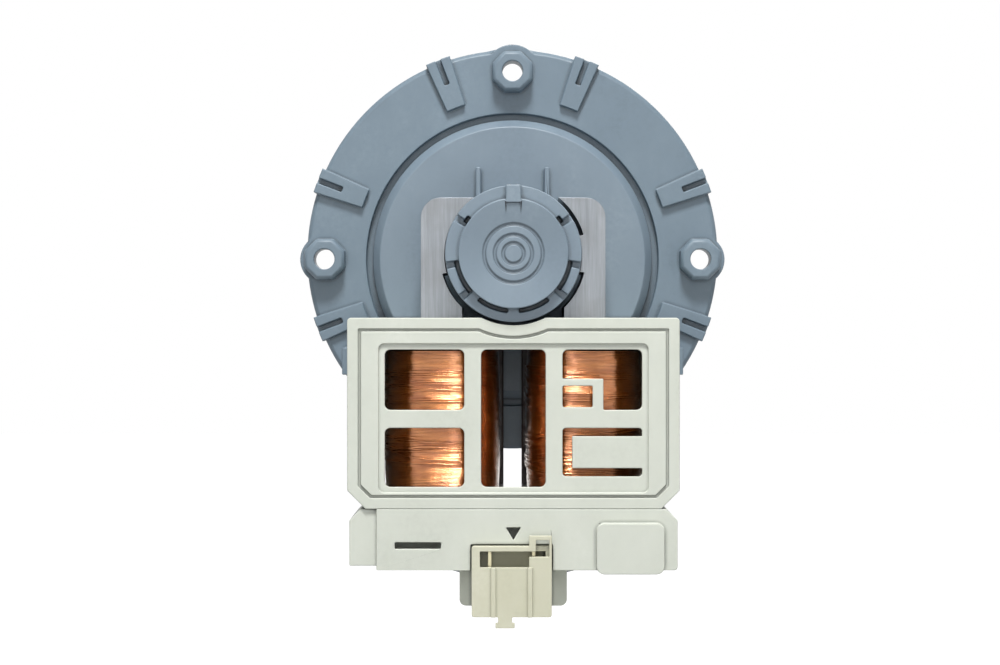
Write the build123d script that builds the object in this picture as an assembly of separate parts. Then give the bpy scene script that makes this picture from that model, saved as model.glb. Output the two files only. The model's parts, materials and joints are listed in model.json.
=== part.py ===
from build123d import *
from math import asin, cos, degrees, radians, sin, sqrt
import os

# Washer drain pump, all lengths in millimetres.
# The origin is where the rotor axis meets the mating face of the mounting flange.
# +Y is the rotor axis, out of the motor and towards the impeller.
# +Z is up, and +X is right as seen from the motor.

os.makedirs("parts", exist_ok=True)

# Fits that several pieces share
overrun = 5.0
running_clearance = 0.05
seat_clearance = 0.2
body_clearance = 0.3
moulding_wall = 1.8

# Mounting flange
rim_width = 16.3
rim_rise = 1.1
rim_chamfer = 0.9
rim_thickness = 4.0
screw_inset = 4.5
screw_hole_radius = 2.5
top_angle = 90
screw_angles = (0, top_angle, 180)
boss_half_width = 4.9
boss_height = 4.2
boss_chamfer = 0.7
lobe_radius = 6.2
top_lobe_radius = 6.9
rib_offset = 21
rib_spread = 7
rib_reach = 0.7
rib_height = 1.4
rib_length = 11.9
rib_groove_width = 1.3
rib_groove_length = 6.5
notch_depth = 4.0
notch_spread = 24
seam_width = 1.7
lap_depth = 2.0
arm_angle_drop = 21.6
arm_height = 6.6
arm_thickness = 1.7
hook_length = 2.6
hook_bite = 1.3

# Gasket in the mating face
gasket_inset = 1.3
gasket_groove_width = 3.0
gasket_groove_depth = 1.5
gasket_proud = 0.8

# Rotor can with its dome, spigot and castellated end
dome_margin = 5.45
dome_slope = 1.8
dome_edge_height = 0.5
dome_height = 3.0
disc_wall = 3.4
spigot_inset = 3.2
spigot_wall = 3.0
spigot_height = 4.0
neck_reach = 0.6
can_radius = 15.6
can_wall = 1.2
can_end_wall = 1.8
crown_height = 1.3
castle_depth = 3.1
crown_disc_height = 2.1
crown_slot_width = 1.0
crown_slot_depth = 1.3
crown_slots = ((-68.5, 32), (-111.5, 32), (-22.5, 31), (-155.5, 35), (36.5, 7), (143.5, 7))
castle_spread = 6
castle_angles = (-10, -40, 190, 220, 32, 148)
crown_dish = 0.9
crown_ring_radius = 4.6
crown_ring_width = 0.7
crown_ring_depth = 0.45
crown_step_radius = 7.0
crown_pip_radius = 2.0
key_tab_half_width = 1.7
gusset_offset = 8.3
gusset_thickness = 1.2
gusset_rise = 6.4
bush_seat_wall = 1.6

# Lamination stack
stack_standoff = 16.0
stack_depth = 25.0
stack_half_width = 21.4
mouth_drop = 2.3
stack_corner_radius = 4.6
pole_gap = 0.35
pole_step = 1.0
upper_pole_step = (16, 90)
lower_pole_step = (-62, -14)
left_pole_step = (195, 235)
leg_width = 9.6
leg_bottom = 57.0
yoke_height = 13.5
yoke_bulge = 4.5
tenon_height = 3.2
tenon_neck = 4.4
tenon_head = 6.4

# Bobbins and windings
bobbin_drop = 2.3
bobbin_clearance = 0.2
bobbin_wall = 1.0
bobbin_flange = 1.2
bobbin_foot_clearance = 1.0
bobbin_rim = 0.4
bobbin_corner = 2.2
coil_inset = 2.6
coil_half_depth = 20.5
coil_corner = 5.2
turn_gap = 0.74
wire_height = 0.95
wire_seat_gap = 0.05
wire_end_gap = 0.3
wire_lead = 1.8
loops = 10

# Coil housing
housing_side_gap = 5.05
lip_thickness = 1.8
housing_top = 14.6
leg_cover = 1.1
housing_rear = 52.0
housing_chamfer = 4.2
housing_corner = 0.9
notch_clearance = 0.7
rim_band = 2.5
rim_groove_width = 0.6
rim_groove_depth = 0.5
panel_inset = 7.15
panel_top = 20.5
panel_sill = 3.7
panel_depth = 0.6
window_head = 21.85
upper_window_height = 13.75
cross_bar_height = 4.1
window_sill = 4.95
side_window_inset = 8.55
side_window_inner = 11.2
centre_window_half = 7.35
window_corner = 1.3
latch_frame_width = 9.3
latch_frame_drop = 6.65
latch_frame_bar = 1.6
latch_frame_side = 2.45
latch_hole_height = 4.9
latch_hole_corner = 0.4
tongue_slot = 1.9
tongue_height = 7.25
tongue_side_slot = 2.2
tongue_slot_corner = 0.8
ledge_length = 3.0
ledge_reach = 1.5

# Terminal block
block_inset = 0.45
block_height = 14.0
block_front = 14.0
block_chamfer = 2.6
block_corner = 0.8
block_step_width = 6.2
block_step = 1.0
block_recess = 0.8
trough_depth_centre = 7.3
trough_half_centre = 13.0
box_inset = 3.1
box_width = 15.4
box_drop = 3.2
box_overhang = 0.8
box_reach = 1.5
box_corner = 1.8
slot_offset = 16.5
slot_length = 10.5
slot_drop = 8.35
slot_height = 1.5
arrow_half_width = 1.7
arrow_drop = 4.2
arrow_height = 2.9
back_plate_half_width = 12.4
back_plate_reach = 8.9
back_plate_thickness = 2.4
back_plate_corner = 1.5

# Connector socket and its blades
socket_half_width = 9.1
socket_offset = -0.4
socket_drop = 8.3
socket_height = 16.1
socket_rear_reach = 2.5
socket_wall = 1.4
socket_roof = 1.2
socket_corner = 0.6
socket_window_left = 7.2
socket_window_right = 3.95
socket_window_height = 3.6
socket_rib_width = 1.1
socket_rib_reach = 0.6
socket_rib_offset = 4.15
lug_left = 3.95
lug_height = 2.4
lug_bar = 1.0
lug_hole_left = 5.5
lug_hole_right = 8.5
lug_hole_height = 3.8
tongue_neck_half = 1.6
tongue_neck_height = 1.3
tongue_foot_half = 2.2
tongue_foot_height = 1.2
tongue_offset = -1.5
blade_pitch = 10.0
blade_width = 6.3
blade_thickness = 0.8
blade_recess = 2.2
blade_tail_width = 3.4
blade_tail_length = 2.6
blade_point = 1.0
blade_clearance = 0.1

# Thermal protector
protector_width = 13.0
protector_height = 8.6
protector_thickness = 4.0
protector_corner = 1.0

# Rotor
shaft_radius = 3.0
shaft_chamfer = 0.5
magnet_length = 26.0
rotor_gap = 0.8
magnet_bore_radius = 5.2
magnet_chamfer = 0.6
carrier_disc = 1.4
carrier_disc_inset = 1.2
washer_thickness = 0.8
washer_radius = 5.4
axial_play = 0.25
front_bush_length = 6.0
rear_bush_length = 4.5
bush_radius = 5.0
bush_mount_wall = 2.6
bush_recess = 0.3
bush_end_gap = 0.3

# Bearing plate
plate_ledge = 2.4
plate_flange = 1.6
plate_web = 2.6
plate_hub_wall = 2.0
plate_shaft_hole = 4.2

# Fluff seal
seal_radius = 6.6
seal_thickness = 1.5
seal_lip = 0.5

# Impeller and its lost-motion coupling
impeller_gap = 0.6
impeller_radius = 20.5
impeller_disc = 1.4
impeller_length = 14.6
vane_count = 8
vane_thickness = 1.9
vane_tip_drop = 3.0
vane_shoulder = 8.0
hub_radius = 9.0
hub_wall = 1.6
hub_nose = 2.4
cap_thickness = 1.6
dog_length = 6.0
dog_hub_radius = 4.6
dog_spread = 60
stop_spread = 70
tip_bore_depth = 4.0

# Places along the rotor axis that follow from the sizes above
rim_rear = -rim_thickness
lap_y = -lap_depth
disc_rear = rim_rear - dome_height
pocket_floor = disc_rear + disc_wall
seat_floor = pocket_floor - plate_flange
stack_front = -stack_standoff
stack_rear = stack_front - stack_depth
stack_middle = (stack_front + stack_rear) / 2
magnet_front = stack_middle + magnet_length / 2
magnet_rear = stack_middle - magnet_length / 2
carrier_front = magnet_front + carrier_disc
carrier_rear = magnet_rear - carrier_disc
washer_stride = axial_play + washer_thickness
front_bush_rear = carrier_front + washer_stride + axial_play
rear_bush_front = carrier_rear - washer_stride - axial_play
front_bush_front = front_bush_rear + front_bush_length
rear_bush_rear = rear_bush_front - rear_bush_length
can_inner_end = rear_bush_rear - bush_end_gap
can_outer_end = can_inner_end - can_end_wall
crown_rear = can_outer_end - crown_height
front_mount_rear = front_bush_rear + bush_recess
front_mount_front = front_bush_front
rear_mount_front = rear_bush_front - bush_recess
housing_front = disc_rear - body_clearance
housing_inner_rear = -housing_rear + moulding_wall

# Radii and heights that follow from the sizes above
stack_top = can_radius - mouth_drop
leg_inner = stack_half_width - leg_width
leg_centre = stack_half_width - leg_width / 2
can_bore_radius = can_radius - can_wall
crown_disc_radius = can_radius - castle_depth
gusset_top = can_radius + gusset_rise
plate_radius = can_radius + plate_ledge
magnet_radius = can_bore_radius - rotor_gap
carrier_disc_radius = magnet_radius - carrier_disc_inset
coil_half_width = leg_centre - coil_inset
bobbin_reach = leg_centre + coil_half_width + bobbin_rim
housing_half_width = bobbin_reach + housing_side_gap + moulding_wall
housing_bottom = leg_bottom + leg_cover
panel_half_width = housing_half_width - panel_inset
panel_bottom = housing_bottom - panel_sill
side_window_outer = housing_half_width - side_window_inset
arm_inner = housing_half_width + ledge_reach + body_clearance
dome_radius = arm_inner - dome_margin
rim_radius = dome_radius + rim_width
screw_circle_radius = rim_radius - screw_inset
gasket_groove_radius = dome_radius + seam_width + gasket_inset + gasket_groove_width
spigot_radius = dome_radius - spigot_inset
dome_top_radius = dome_radius - dome_slope
pocket_radius = spigot_radius - spigot_wall
neck_radius = spigot_radius + neck_reach
mount_radius = bush_radius + bush_mount_wall
pole_radius = can_radius + pole_gap
pole_step_radius = pole_radius + pole_step
notch_radius = can_radius + notch_clearance
bobbin_top = notch_radius + moulding_wall + bobbin_drop
bobbin_bottom = leg_bottom - bobbin_foot_clearance
tube_half_width = leg_width / 2 + bobbin_clearance + bobbin_wall
tube_half_depth = stack_depth / 2 + bobbin_clearance + bobbin_wall
coil_top = bobbin_top + bobbin_flange
coil_bottom = bobbin_bottom - bobbin_flange
turn_pitch = (coil_bottom - coil_top - 2 * wire_end_gap + turn_gap) / loops
wire_base = turn_pitch - turn_gap
core_half_width = coil_half_width - wire_height - wire_seat_gap
core_half_depth = coil_half_depth - wire_height - wire_seat_gap
block_half_width = housing_half_width - block_inset
block_top = housing_bottom
block_bottom = block_top + block_height
box_right = block_half_width - box_inset
box_left = box_right - box_width
box_top = block_top + box_drop
slot_left = slot_offset + slot_length
slot_middle = block_top + slot_drop
arrow_top = block_top + arrow_drop
back_plate_bottom = block_bottom + back_plate_reach
socket_top = block_top + socket_drop
socket_bottom = socket_top + socket_height
yoke_bottom = leg_bottom + yoke_height
window_foot = housing_bottom - window_sill
hub_bore_radius = hub_radius - hub_wall
chamber_rear = spigot_height + impeller_gap + cap_thickness
chamber_front = chamber_rear + body_clearance + dog_length + body_clearance
tip_bore_front = chamber_front + tip_bore_depth
shaft_front = tip_bore_front - body_clearance
impeller_rear = spigot_height + impeller_gap
impeller_front = impeller_rear + impeller_length


def rear_plane(y):
    """A drawing plane square to the rotor axis, whose X and Y are the pump's X and Z."""
    return Plane(origin=(0, y, 0), x_dir=(1, 0, 0), z_dir=(0, -1, 0))


def slab(outline, front, rear):
    """An outline in X and Z, made solid from front back to rear."""
    return extrude(rear_plane(front) * outline, front - rear, dir=(0, -1, 0))


def turned(points):
    """A solid of revolution about the rotor axis, from points of radius and Y."""
    return revolve(make_face(Polyline(*points, close=True)), Axis.Y)


def ring(outer, inner, front, rear):
    """A ring, or a disc where inner is 0, about the rotor axis."""
    return turned([(inner, front), (outer, front), (outer, rear), (inner, rear)])


def block(x_span, y_span, z_span):
    """A box between two places along each axis."""
    spans = (x_span, y_span, z_span)
    low = [min(span) for span in spans]
    size = [max(span) - min(span) for span in spans]
    return Pos(*low) * Box(*size, align=(Align.MIN, Align.MIN, Align.MIN))


def panel(x_span, z_span, corner=0):
    """A rectangle in X and Z with round corners."""
    width = abs(x_span[1] - x_span[0])
    height = abs(z_span[1] - z_span[0])
    shape = RectangleRounded(width, height, corner) if corner else Rectangle(width, height)
    return Pos(sum(x_span) / 2, sum(z_span) / 2) * shape


def sector(outer, inner, middle, spread):
    """A ring sector in X and Z, its middle and spread in degrees from +X towards +Z."""
    outer_arc = CenterArc((0, 0), outer, middle - spread / 2, spread)
    inner_arc = CenterArc((0, 0), inner, middle - spread / 2, spread)
    sides = [Line(outer_arc @ end, inner_arc @ end) for end in (0, 1)]
    return make_face([outer_arc, inner_arc, *sides])


def both_sides(solid):
    """A solid and its mirror image across the pump's middle plane."""
    return solid + mirror(solid, about=Plane.YZ)


def rib_angles():
    """Where the raised ribs stand: one on each side of every screw."""
    return [angle + side * rib_offset for angle in screw_angles for side in (-1, 1)]


def rib_outline(angle):
    """One wedge-shaped rib that runs out over the rim, with a groove down its middle."""
    outer = rim_radius + rib_reach
    rib = sector(outer, rim_radius - rib_length, angle, rib_spread)
    groove = Pos(outer - rib_groove_length / 2, 0) * Rectangle(rib_groove_length, rib_groove_width)
    return rib - Rot(0, 0, angle) * groove


def rim_disc():
    """The flange's disc, a little higher than the rotor axis, with its rear edge chamfered."""
    disc = turned(
        [
            (0, 0),
            (rim_radius, 0),
            (rim_radius, rim_rear + rim_chamfer),
            (rim_radius - rim_chamfer, rim_rear),
            (0, rim_rear),
        ]
    )
    return Pos(0, 0, rim_rise) * disc


def lobe_outline():
    """A lobe round each screw and a short tab under each rib, all of them flat."""
    inner = rim_radius - rib_length
    outline = Sketch()
    for angle in screw_angles:
        radius = top_lobe_radius if angle == top_angle else lobe_radius
        outline += Rot(0, 0, angle) * Pos(screw_circle_radius, 0) * Circle(radius)
    for angle in rib_angles():
        outline += Pos(0, rim_rise) * sector(rim_radius + rib_reach, inner, angle, rib_spread)
    return outline


def snap_arm():
    """The right-hand arm that reaches back from the flange and hooks behind the cover's ledge."""
    outer = arm_inner + arm_thickness
    ledge_rear = housing_front - ledge_length
    hook_front = ledge_rear - body_clearance
    z_span = (-arm_angle_drop, -arm_angle_drop - arm_height)
    arm = block((arm_inner, outer), (rim_rear, hook_front - hook_length), z_span)
    arm += block((dome_radius, outer), (0, rim_rear), z_span)
    nose = [
        (arm_inner, hook_front),
        (arm_inner - hook_bite, hook_front),
        (arm_inner, hook_front - hook_length),
    ]
    wedge = extrude(make_face(Polyline(*nose, close=True)), arm_height, dir=(0, 0, -1))
    return arm + Pos(0, 0, -arm_angle_drop) * wedge


def mounting_flange():
    """The ring that bolts the pump to its filter housing."""
    flange = rim_disc() + slab(lobe_outline(), 0, rim_rear) + both_sides(snap_arm())
    for angle in screw_angles:
        place = Rot(0, 0, angle) * Pos(screw_circle_radius, 0)
        octagon = RegularPolygon(boss_half_width, 8, major_radius=False, rotation=22.5)
        boss = slab(place * octagon, rim_rear, rim_rear - boss_height)
        boss = chamfer(boss.faces().sort_by(Axis.Y)[0].edges(), boss_chamfer)
        flange += boss
        hole = slab(place * Circle(screw_hole_radius), overrun, rim_rear - boss_height - overrun)
        flange -= hole
    for angle in rib_angles():
        flange += slab(Pos(0, rim_rise) * rib_outline(angle), rim_rear, rim_rear - rib_height)
    notch = sector(rim_radius + overrun, rim_radius - notch_depth, -90, notch_spread)
    flange -= slab(notch, overrun, rim_rear - overrun)
    flange -= ring(neck_radius + seat_clearance, 0, overrun, rim_rear - overrun)
    flange -= ring(dome_radius + seam_width, 0, lap_y, rim_rear - overrun)
    groove_inner = gasket_groove_radius - gasket_groove_width
    return flange - ring(gasket_groove_radius, groove_inner, overrun, -gasket_groove_depth)


def flange_gasket():
    """The rubber ring that seals the flange against its filter housing."""
    outer = gasket_groove_radius - seat_clearance
    inner = gasket_groove_radius - gasket_groove_width + seat_clearance
    return ring(outer, inner, gasket_proud, -gasket_groove_depth)


def can_crown():
    """The castellated end of the can, with its slots, notches and turned rings."""
    crown = ring(can_radius, 0, can_outer_end, crown_rear)
    for angle in castle_angles:
        notch = sector(can_radius + overrun, crown_disc_radius, angle, castle_spread)
        crown -= slab(notch, can_outer_end, crown_rear - overrun)
    disc_rear_face = crown_rear - crown_disc_height
    dish_floor = disc_rear_face + crown_dish
    crown += turned(
        [
            (0, can_outer_end),
            (crown_disc_radius, can_outer_end),
            (crown_disc_radius, disc_rear_face),
            (crown_step_radius, dish_floor),
            (0, dish_floor),
        ]
    )
    tab = panel((-key_tab_half_width, key_tab_half_width), (crown_disc_radius - crown_slot_width, can_radius))
    crown += slab(tab, crown_rear, disc_rear_face)
    for radius in (crown_step_radius, crown_ring_radius, crown_pip_radius + crown_ring_width):
        groove_floor = dish_floor + crown_ring_depth
        crown -= ring(radius, radius - crown_ring_width, groove_floor, disc_rear_face - overrun)
    return crown


def rotor_can():
    """The dome, spigot and blind can in one moulding, with the key that locks the stack."""
    edge_y = rim_rear - dome_edge_height
    can = turned(
        [
            (0, can_outer_end),
            (can_radius, can_outer_end),
            (can_radius, disc_rear),
            (dome_top_radius, disc_rear),
            (dome_radius, edge_y),
            (dome_radius, lap_y),
            (neck_radius, lap_y),
            (neck_radius, 0),
            (spigot_radius, 0),
            (spigot_radius, spigot_height),
            (pocket_radius, spigot_height),
            (pocket_radius, pocket_floor),
            (plate_radius + seat_clearance, pocket_floor),
            (plate_radius + seat_clearance, seat_floor),
            (can_bore_radius, seat_floor),
            (can_bore_radius, can_inner_end),
            (0, can_inner_end),
        ]
    )
    can += can_crown()
    slot_outer = crown_disc_radius + crown_slot_width
    for middle, spread in crown_slots:
        slot = sector(slot_outer, crown_disc_radius, middle, spread)
        can -= slab(slot, can_outer_end + crown_slot_depth, crown_rear - overrun)
    can += ring(mount_radius + bush_seat_wall, mount_radius, rear_mount_front, can_inner_end)
    mouth_half_width = sqrt(pole_radius**2 - stack_top**2)
    key_half_width = mouth_half_width - seat_clearance
    inside_wall = ring((can_radius + can_bore_radius) / 2, 0, 0, stack_rear - overrun)
    key_x = (can_bore_radius / 2, key_half_width)
    key = both_sides(block(key_x, (disc_rear, stack_rear), (can_bore_radius / 2, stack_top)))
    gusset_span = (gusset_offset - gusset_thickness / 2, gusset_offset + gusset_thickness / 2)
    gusset_y = (disc_rear, stack_front + seat_clearance)
    gusset = block(gusset_span, gusset_y, (stack_top - overrun, gusset_top))
    return can + (key + both_sides(gusset) - inside_wall)


def bearing_plate():
    """The plate that closes the can and carries the front bushing."""
    plug_radius = can_bore_radius - seat_clearance
    hub_radius_outer = mount_radius + plate_hub_wall
    web_rear = seat_floor - plate_web
    return turned(
        [
            (plate_shaft_hole, pocket_floor),
            (plate_radius, pocket_floor),
            (plate_radius, seat_floor),
            (plug_radius, seat_floor),
            (plug_radius, web_rear),
            (hub_radius_outer, web_rear),
            (hub_radius_outer, front_mount_rear),
            (mount_radius, front_mount_rear),
            (mount_radius, front_mount_front),
            (plate_shaft_hole, front_mount_front),
        ]
    )


def bushing(front, rear):
    """A plain bearing bush with the shaft's running clearance."""
    return ring(bush_radius, shaft_radius + running_clearance, front, rear)


def bushing_mount(front, rear):
    """A rubber ring that holds a bush in its seat."""
    return ring(mount_radius, bush_radius, front, rear)


def pole_outline(side):
    """One pole's lamination: round to the can, with a stepped air gap, and its leg below."""
    x_span = sorted((0, side * stack_half_width))
    plate = panel(x_span, (-leg_bottom, stack_top))
    outer_corner = plate.vertices().group_by(Axis.Y)[-1].sort_by(Axis.X)[-1 if side > 0 else 0]
    plate = fillet(outer_corner, stack_corner_radius)
    plate -= Circle(pole_radius)
    steps = (upper_pole_step, lower_pole_step) if side > 0 else (left_pole_step,)
    for start, end in steps:
        plate -= sector(pole_step_radius, can_radius, (start + end) / 2, end - start)
    return plate - panel((-leg_inner, leg_inner), (-leg_bottom - overrun, 0))


def tenon_outline(side):
    """The dovetail under a leg that locks it to the yoke."""
    points = [
        (side * leg_centre - tenon_neck / 2, -leg_bottom),
        (side * leg_centre - tenon_head / 2, -leg_bottom - tenon_height),
        (side * leg_centre + tenon_head / 2, -leg_bottom - tenon_height),
        (side * leg_centre + tenon_neck / 2, -leg_bottom),
    ]
    return make_face(Polyline(*points, close=True))


def pole_stack(side):
    """The lamination stack on one side of the can, with its leg and the dovetail under it."""
    return slab(pole_outline(side) + tenon_outline(side), stack_front, stack_rear)


def stator_yoke():
    """The lamination block that closes the two legs, with a bowed lower edge."""
    top_left = (-stack_half_width, -leg_bottom)
    bottom_left = (-stack_half_width, -yoke_bottom)
    lowest = (0, -yoke_bottom - yoke_bulge)
    bottom_right = (stack_half_width, -yoke_bottom)
    top_right = (stack_half_width, -leg_bottom)
    edges = [
        Line(top_left, bottom_left),
        ThreePointArc(bottom_left, lowest, bottom_right),
        Line(bottom_right, top_right),
        Line(top_right, top_left),
    ]
    outline = make_face(edges)
    for side in (-1, 1):
        outline -= tenon_outline(side)
    return slab(outline, stack_front, stack_rear)


def bobbin_section(half_width, half_depth, corner=0):
    """A rectangle in X and Y round the right-hand leg."""
    if corner:
        shape = RectangleRounded(2 * half_width, 2 * half_depth, corner)
    else:
        shape = Rectangle(2 * half_width, 2 * half_depth)
    return Pos(leg_centre, stack_middle) * shape


def standing(section, top, bottom):
    """A section in X and Y made solid from a height down to another, both below the rotor axis."""
    return extrude(Pos(0, 0, -top) * section, bottom - top, dir=(0, 0, -1))


def right_bobbin():
    """The bobbin on the right-hand leg: a tube with a flange at each end."""
    tube = bobbin_section(tube_half_width, tube_half_depth)
    rim = bobbin_section(coil_half_width + bobbin_rim, coil_half_depth + bobbin_rim, bobbin_corner)
    leg_hole = bobbin_section(tube_half_width - bobbin_wall, tube_half_depth - bobbin_wall)
    bobbin = standing(tube, bobbin_top, bobbin_bottom)
    bobbin += standing(rim, bobbin_top, coil_top)
    bobbin += standing(rim, coil_bottom, bobbin_bottom)
    return bobbin - standing(leg_hole, bobbin_top - overrun, bobbin_bottom + overrun)


def right_winding_core():
    """The inner layers of the right-hand coil, wound solid on the bobbin's tube."""
    outer = bobbin_section(core_half_width, core_half_depth, coil_corner)
    inner = bobbin_section(tube_half_width, tube_half_depth)
    return standing(outer - inner, coil_top, coil_bottom)


def winding_path():
    """The outer layer's wire: level on three sides, climbing in an S on the side towards the flange."""
    half_width = core_half_width + wire_seat_gap
    half_depth = core_half_depth + wire_seat_gap
    run_x = half_width - coil_corner
    run_y = half_depth - coil_corner
    mid_corner = coil_corner * sin(radians(45))
    lowest = -coil_bottom + wire_end_gap + wire_base / 2
    highest = -coil_top - wire_end_gap - wire_base / 2

    def place(x, y, z):
        return (leg_centre + x, stack_middle + y, z)

    def corner(side_x, side_y, x_first, z):
        along_x = place(side_x * run_x, side_y * half_depth, z)
        along_y = place(side_x * half_width, side_y * run_y, z)
        middle = place(side_x * (run_x + mid_corner), side_y * (run_y + mid_corner), z)
        ends = (along_x, along_y) if x_first else (along_y, along_x)
        return ThreePointArc(ends[0], middle, ends[1])

    def climb(z):
        arc_radius = (run_x**2 + turn_pitch**2 / 4) / turn_pitch
        half_angle = asin(run_x / arc_radius) / 2
        quarter_x = arc_radius * sin(half_angle)
        quarter_z = arc_radius * (1 - cos(half_angle))
        middle = place(0, half_depth, z + turn_pitch / 2)
        first = place(run_x - quarter_x, half_depth, z + quarter_z)
        second = place(quarter_x - run_x, half_depth, z + turn_pitch - quarter_z)
        rise = ThreePointArc(place(run_x, half_depth, z), first, middle)
        level = ThreePointArc(middle, second, place(-run_x, half_depth, z + turn_pitch))
        return [rise, level]

    lead_x = run_x - wire_lead
    edges = [Line(place(-lead_x, half_depth, lowest), place(-run_x, half_depth, lowest))]
    for turn in range(loops):
        z = lowest + turn * turn_pitch
        edges.append(corner(-1, 1, True, z))
        edges.append(Line(place(-half_width, run_y, z), place(-half_width, -run_y, z)))
        edges.append(corner(-1, -1, False, z))
        edges.append(Line(place(-run_x, -half_depth, z), place(run_x, -half_depth, z)))
        edges.append(corner(1, -1, True, z))
        edges.append(Line(place(half_width, -run_y, z), place(half_width, run_y, z)))
        edges.append(corner(1, 1, False, z))
        if turn < loops - 1:
            edges += climb(z)
    edges.append(Line(place(run_x, half_depth, highest), place(lead_x, half_depth, highest)))
    return edges


def least_wire_gap(edges):
    """The least clear distance between a turn and the next, measured on points of the wire's line."""
    steps = (0, 0.25, 0.5, 0.75)
    points = [edge @ step for edge in edges for step in steps]
    per_loop = 9 * len(steps)
    least = coil_bottom
    for index, point in enumerate(points[:-per_loop]):
        neighbours = points[index + per_loop // 2 : index + per_loop + per_loop // 2]
        least = min([least] + [(point - other).length for other in neighbours])
    return least - wire_base


def right_winding():
    """The outer layer of turns on the right-hand coil, one unbroken wire of three-sided section."""
    edges = winding_path()
    print("least gap between turns", round(least_wire_gap(edges), 2), "mm")
    start = edges[0] @ 0
    section_plane = Plane(origin=start, x_dir=(0, 0, 1), z_dir=(-1, 0, 0))
    points = [(-wire_base / 2, 0), (wire_base / 2, 0), (0, wire_height)]
    section = section_plane * make_face(Polyline(*points, close=True))
    return sweep(section, path=Wire(edges))


def left_of(solid):
    """The mirror image of a right-hand piece."""
    return mirror(solid, about=Plane.YZ)


def housing_outline():
    """The cover's outline: chamfered below, with the can's notch in its top edge."""
    outline = panel((-housing_half_width, housing_half_width), (-housing_bottom, -housing_top))
    outline = chamfer(outline.vertices().group_by(Axis.Y)[0], housing_chamfer)
    outline = fillet(outline.vertices().group_by(Axis.Y)[-1], housing_corner)
    return outline - Circle(notch_radius)


def latch_frame():
    """The small frame that stands in the upper right window, with the hole in it."""
    right = side_window_inner + latch_frame_width
    top = -window_head - latch_frame_drop
    foot = -window_head - upper_window_height
    frame = panel((side_window_inner - moulding_wall, right), (foot - moulding_wall, top))
    hole_top = top - latch_frame_bar
    hole = panel(
        (side_window_inner, right - latch_frame_side),
        (hole_top - latch_hole_height, hole_top),
        latch_hole_corner,
    )
    return frame - hole


def tongue_slots():
    """The U-shaped slot that frees the snap tongue in the lower right corner."""
    head = -window_head - upper_window_height - cross_bar_height
    tongue_top = head - tongue_slot
    tongue_foot = tongue_top - tongue_height
    foot = tongue_foot - tongue_slot
    left = side_window_inner + tongue_side_slot
    outer = panel((side_window_inner, side_window_outer), (foot, head), tongue_slot_corner)
    return outer - panel((left, side_window_outer + overrun), (tongue_foot, tongue_top))


def housing_windows():
    """Every opening in the cover's rear wall."""
    head = -window_head
    upper_foot = head - upper_window_height
    lower_head = upper_foot - cross_bar_height
    foot = -window_foot
    left_span = (-side_window_outer, -side_window_inner)
    right_span = (side_window_inner, side_window_outer)
    windows = panel(left_span, (upper_foot, head), window_corner)
    windows += panel(left_span, (foot, lower_head), window_corner)
    windows += panel((-centre_window_half, centre_window_half), (foot, head), window_corner)
    windows += panel(right_span, (upper_foot, head), window_corner) - latch_frame()
    return windows + tongue_slots()


def coil_housing():
    """The cover over the coils, open towards the flange and windowed at the rear."""
    outline = housing_outline()
    inner = offset(outline, amount=-moulding_wall, kind=Kind.INTERSECTION)
    cover = slab(outline, housing_front, -housing_rear)
    cover -= slab(inner, housing_front + overrun, housing_inner_rear)
    leg_gap = stack_half_width + body_clearance
    slot_span = (housing_front + overrun, stack_rear - body_clearance)
    cover -= block((-leg_gap, leg_gap), slot_span, (-bobbin_top, -housing_top + overrun))
    cover -= block((-leg_gap, leg_gap), slot_span, (-bobbin_bottom, -housing_bottom - overrun))
    band = offset(outline, amount=-rim_band, kind=Kind.INTERSECTION)
    field = offset(outline, amount=-rim_band - rim_groove_width, kind=Kind.INTERSECTION)
    cover -= slab(band - field, -housing_rear + rim_groove_depth, -housing_rear - overrun)
    recess = panel((-panel_half_width, panel_half_width), (-panel_bottom, -panel_top), window_corner)
    recess -= Circle(notch_radius + rim_band)
    cover -= slab(recess, -housing_rear + panel_depth, -housing_rear - overrun)
    cover -= slab(housing_windows(), housing_inner_rear + overrun, -housing_rear - overrun)
    lip_span = (bobbin_reach + seat_clearance, housing_half_width - moulding_wall / 2)
    lip_z = (-housing_top - moulding_wall / 2, -housing_bottom + housing_chamfer)
    cover += both_sides(block(lip_span, (housing_front, housing_front - lip_thickness), lip_z))
    ledge_span = (housing_half_width, housing_half_width + ledge_reach)
    ledge_y = (housing_front, housing_front - ledge_length)
    ledge = block(ledge_span, ledge_y, (-arm_angle_drop, -arm_angle_drop - arm_height))
    return cover + both_sides(ledge)


def block_outline():
    """The terminal block's outline, chamfered above and stepped at its lower left."""
    outline = panel((-block_half_width, block_half_width), (-block_bottom, -block_top))
    outline = chamfer(outline.vertices().group_by(Axis.Y)[-1], block_chamfer)
    outline = fillet(outline.vertices().group_by(Axis.Y)[0], block_corner)
    step_span = (-block_half_width - overrun, -block_half_width + block_step_width)
    return outline - panel(step_span, (-block_bottom - overrun, -block_bottom + block_step))


def trough_outline(floor_wall):
    """The wiring trough's outline inside the block: deep at both sides, shallow over the socket."""
    side = block_half_width - moulding_wall
    deep = -block_bottom + block_step + floor_wall
    half_width = side - block_chamfer
    trough = panel((-half_width, half_width), (deep, -block_top + overrun))
    shallow = -block_top - trough_depth_centre
    return trough - panel((-trough_half_centre, trough_half_centre), (deep - overrun, shallow))


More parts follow.
